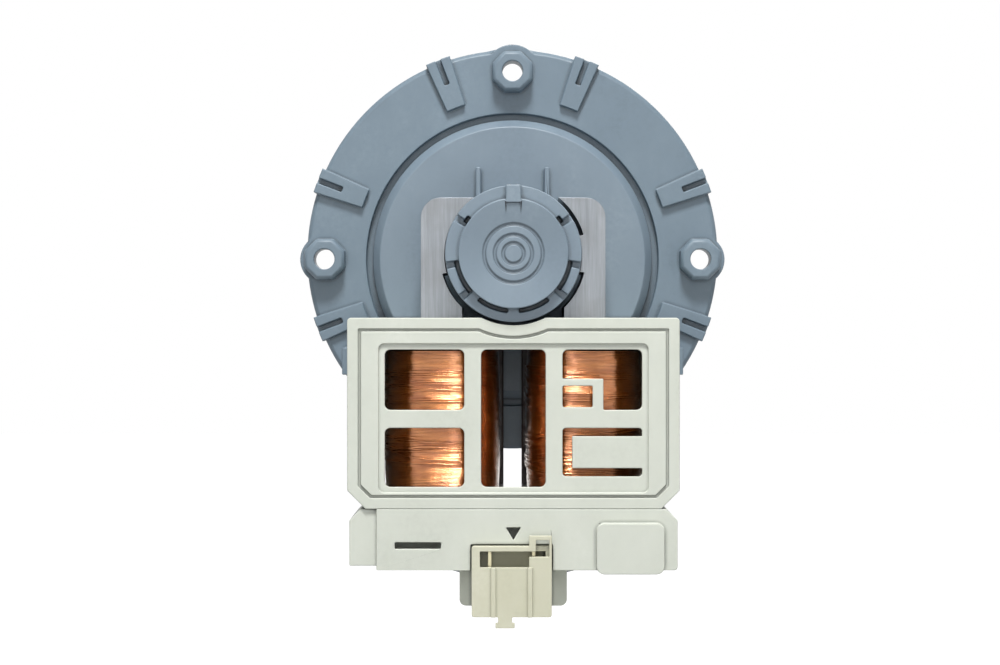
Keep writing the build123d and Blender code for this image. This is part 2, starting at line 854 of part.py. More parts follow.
def terminal_block():
    """The block under the cover: it wraps the yoke and holds the socket, blades and protector."""
    body = slab(block_outline(), -block_front, -housing_rear)
    box_outline = panel((box_left, box_right), (-block_bottom - box_overhang, -box_top), box_corner)
    body += slab(box_outline, housing_inner_rear, -housing_rear - box_reach)
    plate_front = stack_rear - body_clearance
    plate_rear = plate_front - back_plate_thickness
    plate_span = (-back_plate_half_width, back_plate_half_width)
    plate = panel(plate_span, (-back_plate_bottom, -block_top - trough_depth_centre), back_plate_corner)
    yoke_gap = stack_half_width + body_clearance
    cavity_y = (stack_front + overrun, plate_front)
    body -= block((-yoke_gap, yoke_gap), cavity_y, (-block_top + overrun, -block_bottom - overrun))
    trough_front = plate_rear
    body -= slab(trough_outline(moulding_wall), trough_front, housing_inner_rear)
    socket_span = [socket_offset + side * (socket_half_width + seat_clearance) for side in (-1, 1)]
    socket_z = (-socket_top + seat_clearance, -block_bottom - overrun)
    body -= block(socket_span, (plate_rear, -housing_rear - overrun), socket_z)
    body += slab(plate, plate_front, plate_rear)
    side_wall = block_half_width - moulding_wall
    pocket_span = (yoke_gap + moulding_wall, side_wall)
    pocket_z = (-block_top - block_chamfer, -block_bottom + block_step + moulding_wall)
    pocket_y = (-block_front + overrun, plate_front)
    body -= both_sides(block(pocket_span, pocket_y, pocket_z))
    slot_z = (-slot_middle - slot_height / 2, -slot_middle + slot_height / 2)
    slot = panel((-slot_left, -slot_offset), slot_z)
    arrow = [
        (-arrow_half_width, -arrow_top),
        (0, -arrow_top - arrow_height),
        (arrow_half_width, -arrow_top),
    ]
    holes = slot + make_face(Polyline(*arrow, close=True))
    body -= slab(holes, housing_inner_rear + overrun / 2, -housing_rear - overrun)
    for blade_x in blade_places():
        body -= blade_slot(blade_x, -block_top - trough_depth_centre + overrun / 2, -socket_top)
    strip_x = (-block_half_width - overrun, -block_half_width + block_step_width)
    strip_y = (-housing_rear + block_recess, -housing_rear - overrun)
    body -= block(strip_x, strip_y, (-block_top + overrun, -block_bottom - overrun))
    return body


def blade_places():
    """Where the two blades stand along X."""
    return [socket_offset + side * blade_pitch / 2 for side in (-1, 1)]


def socket_front():
    """The Y of the socket's hidden face, against the back plate."""
    return stack_rear - body_clearance - back_plate_thickness


def blade_middle():
    """The Y of the blades' middle, which is the middle of the socket's cavity."""
    return (socket_front() - housing_rear - socket_rear_reach) / 2


def blade_slot(x, top, bottom):
    """A slot round a blade's tail between two heights."""
    half_x = blade_thickness / 2 + blade_clearance
    front = blade_middle() + blade_width / 2
    y_span = (front + blade_clearance, front - blade_tail_width - blade_clearance)
    return block((x - half_x, x + half_x), y_span, (top, bottom))


def socket_shell():
    """The socket's walls: a box open downwards, with two ribs on the rear wall."""
    rear = -housing_rear - socket_rear_reach
    outer_half = socket_half_width
    inner_half = socket_half_width - socket_wall
    outer = panel((-outer_half, outer_half), (-socket_bottom, -socket_top), socket_corner)
    inner_top = -socket_top - socket_roof
    inner = panel((-inner_half, inner_half), (-socket_bottom - overrun, inner_top))
    shell = slab(outer, socket_front(), rear)
    shell -= slab(inner, socket_front() - socket_wall, rear + socket_wall)
    for side in (-1, 1):
        rib_middle = side * socket_rib_offset
        rib_x = (rib_middle - socket_rib_width / 2, rib_middle + socket_rib_width / 2)
        rib = panel(rib_x, (-socket_bottom, inner_top - socket_window_height))
        shell += slab(rib, rear, rear - socket_rib_reach)
    return shell


def socket_lug():
    """The step at the upper right of the socket's rear wall."""
    lug = panel((lug_left, socket_half_width), (-socket_top - socket_roof, -socket_top + lug_height))
    rear = -housing_rear - socket_rear_reach
    return slab(lug, rear + socket_wall, rear)


def socket_openings():
    """The window below the socket's roof, and the eye in its step, joined by a slit."""
    roof = -socket_top - socket_roof
    foot = roof - socket_window_height
    eye_top = -socket_top + lug_height - lug_bar
    eye_foot = eye_top - lug_hole_height
    openings = panel((-socket_window_left, socket_window_right), (foot, roof))
    openings += panel((socket_window_right, lug_hole_right), (eye_foot, roof))
    openings += panel((lug_hole_left, lug_hole_right), (eye_foot, eye_top))
    rear = -housing_rear - socket_rear_reach
    return slab(openings, rear + socket_wall, rear - overrun)


def coding_tongue():
    """The tongue below the socket's rear wall, with a narrow neck and a wider foot."""
    rear = -housing_rear - socket_rear_reach
    neck_z = (-socket_bottom - tongue_neck_height, -socket_bottom)
    foot_z = (neck_z[0] - tongue_foot_height, neck_z[0])
    neck = panel((tongue_offset - tongue_neck_half, tongue_offset + tongue_neck_half), neck_z)
    foot = panel((tongue_offset - tongue_foot_half, tongue_offset + tongue_foot_half), foot_z)
    return slab(neck + foot, rear + socket_wall, rear)


def connector_socket():
    """The beige plug socket, open downwards, with a slot for each blade in its roof."""
    walls = socket_shell() + coding_tongue() + socket_lug()
    socket = Pos(socket_offset, 0, 0) * (walls - socket_openings())
    for blade_x in blade_places():
        socket -= blade_slot(blade_x, -socket_top + overrun, -socket_top - socket_roof)
    return socket


def blade(x):
    """A flat blade: pointed at the plug's end, with a narrower tail up into the wiring trough."""
    half = blade_width / 2
    tip = -socket_bottom + blade_recess
    shoulder = -socket_top - socket_roof
    tail = -block_top - trough_depth_centre + blade_tail_length
    points = [
        (half, tail),
        (half, tip + blade_point),
        (half - blade_point, tip),
        (blade_point - half, tip),
        (-half, tip + blade_point),
        (-half, shoulder),
        (half - blade_tail_width, shoulder),
        (half - blade_tail_width, tail),
    ]
    side_plane = Plane(
        origin=(x - blade_thickness / 2, blade_middle(), 0), x_dir=(0, 1, 0), z_dir=(1, 0, 0)
    )
    return extrude(side_plane * make_face(Polyline(*points, close=True)), blade_thickness, dir=(1, 0, 0))


def thermal_protector():
    """The cut-out in its case, standing in the trough behind the raised box."""
    trough_side = block_half_width - moulding_wall - block_chamfer
    x = trough_side - seat_clearance - protector_width / 2
    floor = -block_bottom + block_step + moulding_wall
    outline = panel(
        (x - protector_width / 2, x + protector_width / 2),
        (floor, floor + protector_height),
        protector_corner,
    )
    rear = housing_inner_rear + seat_clearance
    return slab(outline, rear + protector_thickness, rear)


def rotor_shaft():
    """The steel shaft from the rear bush to the impeller's nose."""
    rear = rear_bush_rear
    return turned(
        [
            (0, rear),
            (shaft_radius - shaft_chamfer, rear),
            (shaft_radius, rear + shaft_chamfer),
            (shaft_radius, shaft_front - shaft_chamfer),
            (shaft_radius - shaft_chamfer, shaft_front),
            (0, shaft_front),
        ]
    )


def rotor_magnet():
    """The two-pole ferrite ring."""
    return turned(
        [
            (magnet_bore_radius, magnet_rear),
            (magnet_radius - magnet_chamfer, magnet_rear),
            (magnet_radius, magnet_rear + magnet_chamfer),
            (magnet_radius, magnet_front - magnet_chamfer),
            (magnet_radius - magnet_chamfer, magnet_front),
            (magnet_bore_radius, magnet_front),
        ]
    )


def rotor_carrier():
    """The moulding that holds the magnet on the shaft, with a disc at each end."""
    return turned(
        [
            (shaft_radius, carrier_rear),
            (carrier_disc_radius, carrier_rear),
            (carrier_disc_radius, magnet_rear),
            (magnet_bore_radius, magnet_rear),
            (magnet_bore_radius, magnet_front),
            (carrier_disc_radius, magnet_front),
            (carrier_disc_radius, carrier_front),
            (shaft_radius, carrier_front),
        ]
    )


def thrust_washers():
    """Two washers, one at each end of the carrier."""
    bore = shaft_radius + running_clearance
    front = ring(washer_radius, bore, carrier_front + washer_stride, carrier_front + axial_play)
    rear = ring(washer_radius, bore, carrier_rear - axial_play, carrier_rear - washer_stride)
    return Compound([front.solid(), rear.solid()])


def fluff_seal():
    """The rubber lip that turns with the shaft in front of the bearing plate."""
    rear = pocket_floor + body_clearance
    front = rear + seal_thickness
    return turned(
        [
            (shaft_radius, front),
            (seal_radius - seal_lip, front),
            (seal_radius, rear),
            (shaft_radius, rear),
        ]
    )


def drive_dog():
    """The collar on the shaft whose one wing drives the impeller."""
    rear = chamber_rear + body_clearance
    front = rear + dog_length
    wing_radius = hub_bore_radius - seat_clearance
    wing = slab(sector(wing_radius, shaft_radius, -90, dog_spread), front, rear)
    return ring(dog_hub_radius, shaft_radius, front, rear) + wing


def vane():
    """One straight vane from the hub out to the rim, its free corner cut back."""
    root = hub_radius - hub_wall / 2
    points = [
        (root, impeller_rear),
        (impeller_radius, impeller_rear),
        (impeller_radius, impeller_front - vane_tip_drop),
        (impeller_radius - vane_shoulder, impeller_front),
        (root, impeller_front),
    ]
    side = Pos(0, 0, -vane_thickness / 2) * make_face(Polyline(*points, close=True))
    return extrude(side, vane_thickness, dir=(0, 0, 1))


def impeller():
    """The open impeller, with the dog chamber and its stop inside the hub."""
    hub_front = impeller_front + hub_nose
    tip_radius = shaft_radius + running_clearance
    hub = turned(
        [
            (hub_bore_radius, impeller_rear),
            (impeller_radius, impeller_rear),
            (impeller_radius, impeller_rear + impeller_disc),
            (hub_radius, impeller_rear + impeller_disc),
            (hub_radius, impeller_front),
            (hub_radius - hub_nose, hub_front),
            (0, hub_front),
            (0, tip_bore_front),
            (tip_radius, tip_bore_front),
            (tip_radius, chamber_front),
            (hub_bore_radius, chamber_front),
        ]
    )
    stop_inner = dog_hub_radius + seat_clearance
    stop_outer = hub_bore_radius + hub_wall / 2
    hub += slab(sector(stop_outer, stop_inner, 90, stop_spread), chamber_front, chamber_rear)
    for turn in range(vane_count):
        hub += Rot(0, turn * 360 / vane_count, 0) * vane()
    return hub


def impeller_cap():
    """The disc that closes the dog chamber and runs on the shaft."""
    return ring(hub_bore_radius, shaft_radius + running_clearance, chamber_rear, impeller_rear)


def pump_pieces():
    """Every piece of the pump by its node's name."""
    bobbin = right_bobbin()
    core = right_winding_core()
    winding = right_winding()
    left_blade, right_blade = [blade(x) for x in blade_places()]
    return {
        "mounting_flange": mounting_flange(),
        "flange_gasket": flange_gasket(),
        "rotor_can": rotor_can(),
        "bearing_plate": bearing_plate(),
        "front_bushing": bushing(front_bush_front, front_bush_rear),
        "front_bushing_mount": bushing_mount(front_mount_front, front_mount_rear),
        "rear_bushing": bushing(rear_bush_front, rear_bush_rear),
        "rear_bushing_mount": bushing_mount(rear_mount_front, can_inner_end),
        "pole_stack_left": pole_stack(-1),
        "pole_stack_right": pole_stack(1),
        "stator_yoke": stator_yoke(),
        "bobbin_right": bobbin,
        "bobbin_left": left_of(bobbin),
        "winding_core_right": core,
        "winding_core_left": left_of(core),
        "winding_right": winding,
        "winding_left": left_of(winding),
        "coil_housing": coil_housing(),
        "terminal_block": terminal_block(),
        "connector_socket": connector_socket(),
        "terminal_left": left_blade,
        "terminal_right": right_blade,
        "thermal_protector": thermal_protector(),
        "rotor_shaft": rotor_shaft(),
        "rotor_magnet": rotor_magnet(),
        "rotor_carrier": rotor_carrier(),
        "thrust_washers": thrust_washers(),
        "fluff_seal": fluff_seal(),
        "drive_dog": drive_dog(),
        "impeller": impeller(),
        "impeller_cap": impeller_cap(),
    }


free_half_angle = 180 - dog_spread / 2 - stop_spread / 2
stop_margin = degrees(asin(body_clearance / hub_bore_radius))
print("impeller free play", round(free_half_angle - stop_margin, 1), "degrees each way")
for name, solid in pump_pieces().items():
    export_step(solid, f"parts/{name}.step")
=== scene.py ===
import json
from math import copysign, cos, hypot, pi, radians, sin, sqrt
from random import Random

import bmesh
import bpy
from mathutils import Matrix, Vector


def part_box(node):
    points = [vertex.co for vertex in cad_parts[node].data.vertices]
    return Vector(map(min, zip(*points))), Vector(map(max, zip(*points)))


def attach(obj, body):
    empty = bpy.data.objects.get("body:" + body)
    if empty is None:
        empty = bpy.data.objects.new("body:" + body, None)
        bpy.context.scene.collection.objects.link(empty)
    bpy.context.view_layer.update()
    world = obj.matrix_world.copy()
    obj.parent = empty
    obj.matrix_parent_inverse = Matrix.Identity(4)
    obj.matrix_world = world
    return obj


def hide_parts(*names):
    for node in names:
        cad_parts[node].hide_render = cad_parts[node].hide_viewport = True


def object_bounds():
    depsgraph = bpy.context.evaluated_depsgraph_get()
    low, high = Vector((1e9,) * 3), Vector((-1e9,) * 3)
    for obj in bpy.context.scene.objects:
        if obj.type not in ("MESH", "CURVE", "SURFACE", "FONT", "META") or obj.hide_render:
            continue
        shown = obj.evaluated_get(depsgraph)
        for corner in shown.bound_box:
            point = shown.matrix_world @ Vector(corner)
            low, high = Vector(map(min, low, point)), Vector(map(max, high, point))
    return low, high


# Washer drain pump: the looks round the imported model. Everything is in metres, in the model's frame.

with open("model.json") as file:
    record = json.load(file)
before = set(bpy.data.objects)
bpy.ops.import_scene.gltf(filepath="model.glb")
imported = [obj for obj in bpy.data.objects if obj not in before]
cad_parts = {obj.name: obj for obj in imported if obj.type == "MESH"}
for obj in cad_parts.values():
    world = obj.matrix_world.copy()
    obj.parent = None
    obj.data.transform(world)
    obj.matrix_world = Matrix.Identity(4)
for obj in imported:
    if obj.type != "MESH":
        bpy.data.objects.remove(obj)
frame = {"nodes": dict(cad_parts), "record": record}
cad_low, cad_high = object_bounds()
nodes = frame["nodes"]
slots = {row["node"]: row["material_slot"] for row in frame["record"]["subparts"]}

MM = 0.001
SCENE = bpy.context.scene
WHITE = (1, 1, 1, 1)


# Camera, at the photograph's place

CAMERA_X = -3.05 * MM
CAMERA_Z = -17.95 * MM
CAMERA_DISTANCE = 644 * MM
CAMERA_NEAR = 10 * MM
LENS = 93.7
SENSOR = 36.0


def add_camera():
    """The camera looks level along +Y, square on to the motor's end."""
    data = bpy.data.cameras.new("camera")
    data.lens = LENS
    data.sensor_width = SENSOR
    data.clip_start = CAMERA_NEAR
    camera = bpy.data.objects.new("camera", data)
    camera.location = (CAMERA_X, -CAMERA_DISTANCE, CAMERA_Z)
    camera.rotation_euler = (radians(90), 0, 0)
    SCENE.collection.objects.link(camera)
    SCENE.camera = camera


# Light, floor and background

LAMP_TARGET = Vector((0, -0.03, -0.02))
LAMPS = {
    # name: place, width and height, power in watts
    "key": (Vector((0.0, -0.46, 0.78)), (0.2, 0.2), 11.0),
    "strip": (Vector((0.0, -0.88, 0.22)), (0.13, 0.7), 1.6),
    "fill": (Vector((0.1, -0.95, -0.1)), (0.7, 0.7), 0.2),
    "side_right": (Vector((0.58, -0.75, 0.1)), (0.3, 0.7), 0.6),
    "side_left": (Vector((-0.58, -0.75, 0.1)), (0.3, 0.7), 0.6),
    "back": (Vector((0.3, 0.9, 0.6)), (0.7, 0.7), 5.0),
}
WORLD_TINT = (0.93, 0.96, 1.0, 1)
WORLD_LEVEL = 0.12
FLOOR_DROP = 75 * MM
FLOOR_SIZE = 6.0
FLOOR_TONE = (0.4, 0.4, 0.4, 1)
FLOOR_GLOW = 0.93


def add_lamp(name, place, size, power):
    """A rectangular soft light that points at the pump."""
    data = bpy.data.lights.new(name, "AREA")
    data.shape = "RECTANGLE"
    data.size, data.size_y = size
    data.energy = power
    lamp = bpy.data.objects.new(name, data)
    lamp.location = place
    lamp.rotation_euler = (place - LAMP_TARGET).to_track_quat("Z", "Y").to_euler()
    SCENE.collection.objects.link(lamp)


def seen_directly(tree):
    """A factor of 1 for what the camera, a mirror or clear glass shows, and 0 for light on a surface."""
    path = tree.nodes.new("ShaderNodeLightPath")
    seen = path.outputs["Is Camera Ray"]
    for ray in ("Is Glossy Ray", "Is Transmission Ray"):
        either = tree.nodes.new("ShaderNodeMath")
        either.operation = "MAXIMUM"
        tree.links.new(seen, either.inputs[0])
        tree.links.new(path.outputs[ray], either.inputs[1])
        seen = either.outputs[0]
    return seen


def add_world():
    """An even pale world: plain soft light, and pure white where nothing stands in front of it."""
    world = bpy.data.worlds.new("world")
    world.use_nodes = True
    tree = world.node_tree
    tree.nodes.clear()
    mix = tree.nodes.new("ShaderNodeMixShader")
    out = tree.nodes.new("ShaderNodeOutputWorld")
    for socket, colour, strength in ((1, WORLD_TINT, WORLD_LEVEL), (2, WHITE, 1.0)):
        background = tree.nodes.new("ShaderNodeBackground")
        background.inputs["Color"].default_value = colour
        background.inputs["Strength"].default_value = strength
        tree.links.new(background.outputs[0], mix.inputs[socket])
    tree.links.new(seen_directly(tree), mix.inputs["Fac"])
    tree.links.new(mix.outputs[0], out.inputs["Surface"])
    SCENE.world = world


def add_floor():
    """A plain pale floor below the pump: it takes the shadow, and its lit part looks white like the world."""
    mesh = bpy.data.meshes.new("floor")
    half = FLOOR_SIZE / 2
    z = cad_low.z - FLOOR_DROP
    corners = [(-half, -half, z), (half, -half, z), (half, half, z), (-half, half, z)]
    mesh.from_pydata(corners, [], [(0, 1, 2, 3)])
    floor = bpy.data.objects.new("floor", mesh)
    SCENE.collection.objects.link(floor)
    material = bpy.data.materials.new("floor_paper")
    material.use_nodes = True
    tree = material.node_tree
    shader = tree.nodes["Principled BSDF"]
    shader.inputs["Base Color"].default_value = FLOOR_TONE
    shader.inputs["Roughness"].default_value = 0.9
    shader.inputs["Specular IOR Level"].default_value = 0.1
    shader.inputs["Emission Color"].default_value = WHITE
    glow = tree.nodes.new("ShaderNodeMath")
    glow.operation = "MULTIPLY"
    glow.inputs[1].default_value = FLOOR_GLOW
    tree.links.new(seen_directly(tree), glow.inputs[0])
    tree.links.new(glow.outputs[0], shader.inputs["Emission Strength"])
    mesh.materials.append(material)


# Materials

def srgb(red, green, blue):
    """A screen colour of three bytes, as the linear value that a shader takes."""
    def linear(value):
        value /= 255
        return value / 12.92 if value <= 0.04045 else ((value + 0.055) / 1.055) ** 2.4
    return (linear(red), linear(green), linear(blue), 1)


class Finish:
    """A node material that is built up step by step in object coordinates."""

    def __init__(self, name, values):
        """The values are the shader's own, by socket: each is the same all over the surface."""
        self.material = bpy.data.materials.new(name)
        self.material.use_nodes = True
        self.tree = self.material.node_tree
        self.shader = self.tree.nodes["Principled BSDF"]
        for socket, value in values.items():
            self.shader.inputs[socket].default_value = value
        self.place = self.tree.nodes.new("ShaderNodeTexCoord").outputs["Object"]
        self.height = None

    def link(self, output, socket):
        self.tree.links.new(output, socket)

    def stretched(self, scale):
        """Object coordinates, scaled by a factor for each axis."""
        node = self.tree.nodes.new("ShaderNodeMapping")
        node.inputs["Scale"].default_value = scale
        self.link(self.place, node.inputs["Vector"])
        return node.outputs["Vector"]

    def noise(self, scale, detail, rough, stretch=(1, 1, 1)):
        """A noise of so many features to the metre."""
        node = self.tree.nodes.new("ShaderNodeTexNoise")
        node.inputs["Scale"].default_value = scale
        node.inputs["Detail"].default_value = detail
        node.inputs["Roughness"].default_value = rough
        self.link(self.stretched(stretch), node.inputs["Vector"])
        return node.outputs["Fac"]

    def between(self, value, low, high, to_low=0.0, to_high=1.0):
        """A value's range, clamped and moved to another."""
        node = self.tree.nodes.new("ShaderNodeMapRange")
        node.inputs["From Min"].default_value = low
        node.inputs["From Max"].default_value = high
        node.inputs["To Min"].default_value = to_low
        node.inputs["To Max"].default_value = to_high
        self.link(value, node.inputs["Value"])
        return node.outputs["Result"]

    def mix(self, factor, first, second):
        """A colour between two, each given as a colour or as an output."""
        node = self.tree.nodes.new("ShaderNodeMix")
        node.data_type = "RGBA"
        self.link(factor, node.inputs["Factor"])
        sockets = [s for s in node.inputs if s.type == "RGBA"]
        for socket, colour in zip(sockets, (first, second)):
            if isinstance(colour, tuple):
                socket.default_value = colour
            else:
                self.link(colour, socket)
        return [s for s in node.outputs if s.type == "RGBA"][0]

    def times(self, value, factor):
        """A value, multiplied by a number."""
        node = self.tree.nodes.new("ShaderNodeMath")
        node.operation = "MULTIPLY"
        node.inputs[1].default_value = factor
        self.link(value, node.inputs[0])
        return node.outputs[0]

    def crevice(self, reach):
        """How open a spot is: 1 on a free face, towards 0 deep in a slot or a corner."""
        node = self.tree.nodes.new("ShaderNodeAmbientOcclusion")
        node.samples = 8
        node.inputs["Distance"].default_value = reach
        return node.outputs["AO"]

    def colour(self, output):
        self.link(output, self.shader.inputs["Base Color"])

    def roughness(self, output):
        self.link(output, self.shader.inputs["Roughness"])

    def bump(self, output, depth):
        """Adds a relief of so many metres from low to high."""
        node = self.tree.nodes.new("ShaderNodeBump")
        node.inputs["Strength"].default_value = 1.0
        node.inputs["Distance"].default_value = depth
        self.link(output, node.inputs["Height"])
        if self.height is not None:
            self.link(self.height, node.inputs["Normal"])
        self.height = node.outputs["Normal"]
        self.link(self.height, self.shader.inputs["Normal"])


# Moulded plastic and rubber: features to the metre, and depths of relief
CLOUD_SCALE = 60
CLOUD_STRETCH = (1, 1, 0.6)
FINE_SCALE = 900
SPECK_SCALE = 2600
GRAIN_SCALE = 5200
GRAIN_DEPTH = 0.004 * MM
SWELL_SCALE = 220
SWELL_DEPTH = 0.02 * MM
# Reach and range of the painted shade in slots and corners
CREVICE_REACH = 1.4 * MM
CREVICE_OPEN = (0.35, 0.88)
GLOSS_SPREAD = (-0.06, 0.08)
SCATTER_RADIUS = (1.0, 0.9, 0.75)
SCATTER_SCALE = 0.8 * MM


def moulded(name, dark, mid, light, roughness, speck=0.0, subsurface=0.0, specular=0.5, crevice=0.22):
    """Moulded plastic: flow clouds, a fine tool grain and a slightly uneven gloss.

    In slots and corners its colour falls to a share, crevice, of the dark tone: painted shade, set by an
    ambient occlusion factor."""
    finish = Finish(name, {"Specular IOR Level": specular})
    clouds = finish.noise(CLOUD_SCALE, 4, 0.6, CLOUD_STRETCH)
    tone = finish.mix(finish.between(clouds, 0.3, 0.7), dark, light)
    fine = finish.noise(FINE_SCALE, 3, 0.6)
    tone = finish.mix(finish.between(fine, 0.25, 0.75), tone, mid)
    if speck:
        dots = finish.between(finish.noise(SPECK_SCALE, 1, 0.5), 0.7, 0.78)
        tone = finish.mix(finish.times(dots, speck), tone, dark)
    # Painted shade: the colour darkens in slots and corners, by ambient occlusion.
    painted_crevice_shade = tuple(crevice * value for value in dark[:3]) + (1,)
    tone = finish.mix(finish.between(finish.crevice(CREVICE_REACH), *CREVICE_OPEN), painted_crevice_shade, tone)
    finish.colour(tone)
    glossy, dull = (roughness + change for change in GLOSS_SPREAD)
    finish.roughness(finish.between(fine, 0.2, 0.8, glossy, dull))
    finish.bump(finish.noise(GRAIN_SCALE, 2, 0.5), GRAIN_DEPTH)
    finish.bump(finish.noise(SWELL_SCALE, 2, 0.5), SWELL_DEPTH)
    if subsurface:
        finish.shader.inputs["Subsurface Weight"].default_value = subsurface
        finish.shader.inputs["Subsurface Radius"].default_value = SCATTER_RADIUS
        finish.shader.inputs["Subsurface Scale"].default_value = SCATTER_SCALE
    return finish.material


def flange_plastic():
    tones = srgb(101, 116, 128), srgb(113, 128, 140), srgb(124, 139, 150)
    return moulded("flange_plastic", *tones, 0.44)


def rim_plastic():
    """The mounting flange's finish, a little darker than the rotor can's."""
    tones = srgb(92, 108, 120), srgb(104, 120, 132), srgb(115, 131, 142)
    return moulded("rim_plastic", *tones, 0.46)


def cover_plastic():
    tones = srgb(187, 191, 180), srgb(199, 203, 192), srgb(207, 210, 200)
    return moulded("cover_plastic", *tones, 0.48, speck=0.3, subsurface=0.1)


def socket_plastic():
    tones = srgb(184, 183, 158), srgb(196, 195, 173), srgb(206, 205, 186)
    return moulded("socket_plastic", *tones, 0.42, subsurface=0.15, crevice=0.4)


def bobbin_plastic():
    tones = srgb(52, 46, 44), srgb(60, 54, 52), srgb(72, 66, 62)
    return moulded("bobbin_plastic", *tones, 0.5)


def impeller_plastic():
    tones = srgb(196, 198, 196), srgb(206, 208, 206), srgb(216, 218, 215)
    return moulded("impeller_plastic", *tones, 0.4, subsurface=0.15)


def protector_plastic():
    tones = srgb(20, 20, 21), srgb(26, 26, 28), srgb(34, 34, 36)
    return moulded("protector_plastic", *tones, 0.4)


def seal_rubber():
    tones = srgb(22, 22, 23), srgb(30, 30, 31), srgb(38, 38, 40)
    return moulded("seal_rubber", *tones, 0.7, specular=0.35)


def bushing_carbon():
    tones = srgb(36, 36, 38), srgb(48, 48, 50), srgb(60, 60, 62)
    return moulded("bushing_carbon", *tones, 0.55)


ROLLED_SCALE = 900
ROLLED_STRETCH = (1, 1, 0.04)
ROLLED_DEPTH = 0.006 * MM
BLOOM_SCALE = 120


def lamination_steel():
    """Rolled electrical steel: a grain along its length, faint scratches and a dull oxide bloom."""
    finish = Finish("lamination_steel", {"Metallic": 0.85})
    grain = finish.noise(ROLLED_SCALE, 4, 0.7, ROLLED_STRETCH)
    bloom = finish.noise(BLOOM_SCALE, 3, 0.5)
    tone = finish.mix(finish.between(grain, 0.3, 0.7), srgb(106, 110, 114), srgb(142, 146, 150))
    tone = finish.mix(finish.between(bloom, 0.45, 0.75, 0.0, 0.5), tone, srgb(102, 102, 102))
    finish.colour(tone)
    finish.roughness(finish.between(grain, 0.2, 0.8, 0.34, 0.52))
    finish.bump(grain, ROLLED_DEPTH)
    return finish.material


TINT_SCALE = 420
TINT_STRETCH = (0.25, 0.25, 1)
ENAMEL = {
    "Metallic": 0.85,
    "Coat Weight": 1.0,
    "Coat Roughness": 0.16,
    "Coat IOR": 1.8,
    "Coat Tint": (1.0, 0.95, 0.84, 1),
}


def enamelled_copper():
    """Copper wire under a clear amber enamel."""
    finish = Finish("enamelled_copper", ENAMEL)
    tint = finish.noise(TINT_SCALE, 3, 0.6, TINT_STRETCH)
    finish.colour(finish.mix(finish.between(tint, 0.3, 0.7), srgb(158, 88, 28), srgb(194, 124, 54)))
    finish.roughness(finish.between(tint, 0.2, 0.8, 0.17, 0.27))
    return finish.material


MARK_SCALE = 1500
MARK_STRETCH = (0.1, 1, 0.1)
MARK_DEPTH = 0.002 * MM


def turned_steel(name, tone_low, tone_high, roughness):
    """Bright metal with fine marks round the rotor axis."""
    finish = Finish(name, {"Metallic": 1.0})
    marks = finish.noise(MARK_SCALE, 3, 0.6, MARK_STRETCH)
    finish.colour(finish.mix(finish.between(marks, 0.3, 0.7), tone_low, tone_high))
    finish.roughness(finish.between(marks, 0.2, 0.8, roughness - 0.06, roughness + 0.1))
    finish.bump(marks, MARK_DEPTH)
    return finish.material


def shaft_steel():
    return turned_steel("shaft_steel", srgb(188, 190, 194), srgb(214, 216, 220), 0.2)


def tinned_brass():
    return turned_steel("tinned_brass", srgb(176, 170, 140), srgb(200, 194, 166), 0.45)


SINTER_SCALE = 3000
SINTER_DEPTH = 0.012 * MM


def ferrite():
    """Sintered ferrite: dull, dark, with a granular face."""
    finish = Finish("ferrite", {"Roughness": 0.55})
    grain = finish.noise(SINTER_SCALE, 4, 0.7)
    finish.colour(finish.mix(finish.between(grain, 0.3, 0.7), srgb(44, 45, 48), srgb(66, 67, 70)))
    finish.bump(grain, SINTER_DEPTH)
    return finish.material


MAKERS = [
    flange_plastic, rim_plastic, cover_plastic, socket_plastic, bobbin_plastic, lamination_steel,
    enamelled_copper, seal_rubber, bushing_carbon, shaft_steel, ferrite, tinned_brass,
    protector_plastic, impeller_plastic,
]
materials = {make.__name__: make() for make in MAKERS}

# Nodes whose finish differs a little from their slot's
NODE_FINISHES = {"mounting_flange": "rim_plastic"}


def dress(piece, slot):
    """Gives a piece the finish of a slot, or its own where it has one."""
    finish = NODE_FINISHES.get(piece.name, slot)
    piece.data.materials.clear()
    piece.data.materials.append(materials[finish])


# Edges: moulded and stamped pieces have small round edges

EDGE_ANGLE = radians(32)
FLAT_ANGLE = radians(0.4)
WELD = 0.002 * MM
EDGE_WIDTHS = {
    "flange_plastic": 0.28 * MM,
    "cover_plastic": 0.22 * MM,
    "socket_plastic": 0.16 * MM,
    "bobbin_plastic": 0.15 * MM,
    "impeller_plastic": 0.2 * MM,
    "protector_plastic": 0.2 * MM,
    "tinned_brass": 0.06 * MM,
    "lamination_steel": 0.05 * MM,
}


def round_edges(piece, width):
    """Joins the mesh's seams, clears its flat triangles and rounds every edge."""
    weld = piece.modifiers.new("weld", "WELD")
    weld.merge_threshold = WELD
    flat = piece.modifiers.new("flat", "DECIMATE")
    flat.decimate_type = "DISSOLVE"
    flat.angle_limit = FLAT_ANGLE
    bevel = piece.modifiers.new("edge", "BEVEL")
    bevel.width = width
    bevel.segments = 2
    bevel.limit_method = "ANGLE"
    bevel.angle_limit = EDGE_ANGLE
    bevel.use_clamp_overlap = False
    bevel.miter_outer = "MITER_ARC"
    normals = piece.modifiers.new("normals", "WEIGHTED_NORMAL")
    normals.weight = 100
    normals.keep_sharp = False


def dress_nodes():
    """Every node of the model gets its finish, and its round edges where they show."""
    for name, node in nodes.items():
        slot = slots[name]
        dress(node, slot)
        if slot in EDGE_WIDTHS:
            round_edges(node, EDGE_WIDTHS[slot])


# Meshes that are built here

SHARP_ANGLE = radians(25)


def add_piece(name, vertices, faces, slot, smooth_angle=None):
    """A new mesh that belongs to the pump's body."""
    mesh = bpy.data.meshes.new(name)
    mesh.from_pydata(vertices, [], faces)
    mesh.shade_smooth()
    if smooth_angle is not None:
        mesh.set_sharp_from_angle(angle=smooth_angle)
    piece = bpy.data.objects.new(name, mesh)
    SCENE.collection.objects.link(piece)
    dress(piece, slot)
    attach(piece, "pump_body")
    return piece


